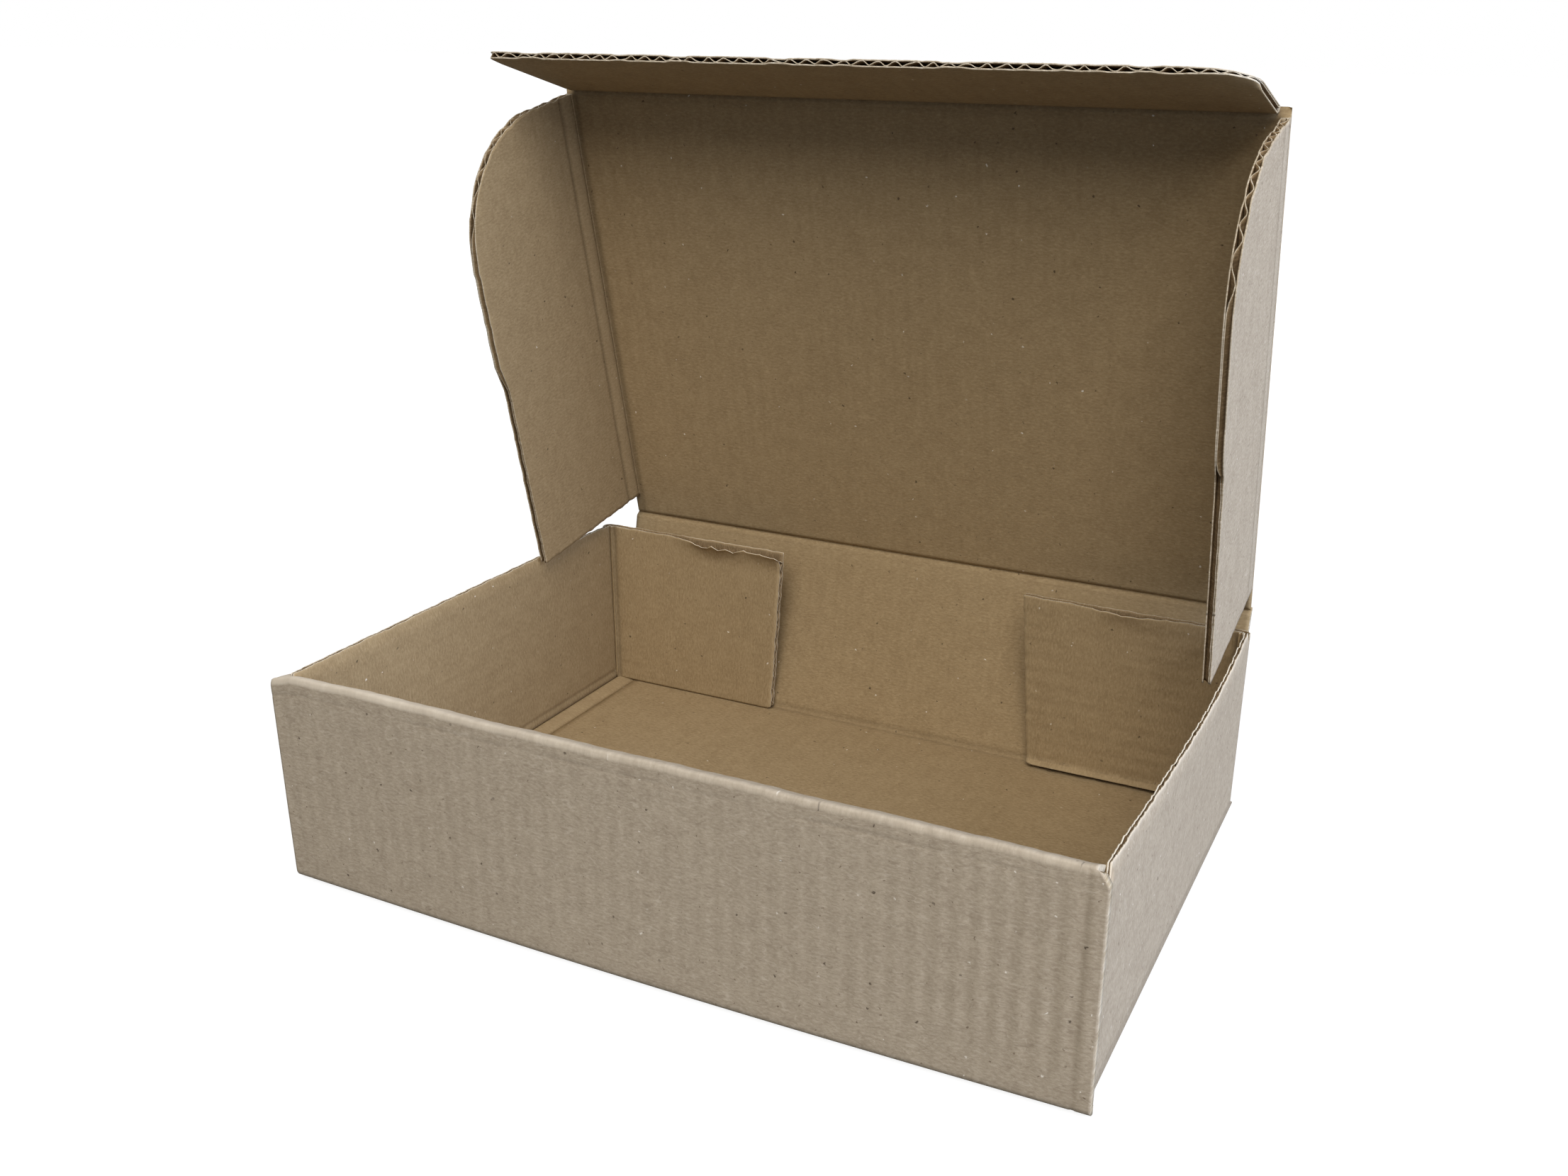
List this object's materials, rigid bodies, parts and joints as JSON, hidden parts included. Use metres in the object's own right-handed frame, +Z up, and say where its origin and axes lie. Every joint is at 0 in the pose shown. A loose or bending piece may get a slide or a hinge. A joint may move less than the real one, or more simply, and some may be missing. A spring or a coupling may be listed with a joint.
{
  "type": "mailing box",
  "caption": "Small corrugated mailing box standing open, with a rolled front wall, loose corner tabs, a leaning back wall and a hinged lid with side ears and a tuck flap.",
  "frame": {"origin": "middle of the box's bottom face, on the surface it stands on", "axes": "+Z up, -Y towards the rolled front wall, +X towards the right-hand side wall seen from the front"},
  "size_m": [0.1538, 0.1158, 0.1455],
  "materials": {
    "kraft_board": "matt, uncoated recycled kraft liner"
  },
  "bodies": {
    "tray": {"tray": "kraft_board"},
    "back_wall": {"back_wall": "kraft_board"},
    "lid": {"lid": "kraft_board"},
    "left_ear": {"left_ear": "kraft_board"},
    "right_ear": {"right_ear": "kraft_board"},
    "tuck_flap": {"tuck_flap": "kraft_board"}
  },
  "joints": [
    {"name": "back_wall_fold", "type": "hinge", "parent": "tray", "child": "back_wall", "pos_m": [0, 0.0526, 0.0008], "axis": [-1, 0, 0], "range_deg": [-12.6, 16.4]},
    {"name": "lid_hinge", "type": "hinge", "parent": "back_wall", "child": "lid", "pos_m": [0, 0.06156, 0.04122], "axis": [-1, 0, 0], "range_deg": [-65.5, 85]},
    {"name": "left_ear_fold", "type": "hinge", "parent": "lid", "child": "left_ear", "pos_m": [-0.07305, 0.06156, 0.04122], "axis": [0, 0.2079, -0.9781], "range_deg": [0, 89.5]},
    {"name": "right_ear_fold", "type": "hinge", "parent": "lid", "child": "right_ear", "pos_m": [0.07305, 0.06156, 0.04122], "axis": [0, -0.2079, 0.9781], "range_deg": [0, 89.5]},
    {"name": "tuck_fold", "type": "hinge", "parent": "lid", "child": "tuck_flap", "pos_m": [0, 0.04089, 0.13845], "axis": [-1, 0, 0], "range_deg": [-39.4, 51.1]}
  ],
  "couplings": [
    {"joint": "back_wall_fold", "follows": "lid_hinge", "ratio": 0.19084},
    {"joint": "tuck_fold", "follows": "lid_hinge", "ratio": 0.6}
  ]
}
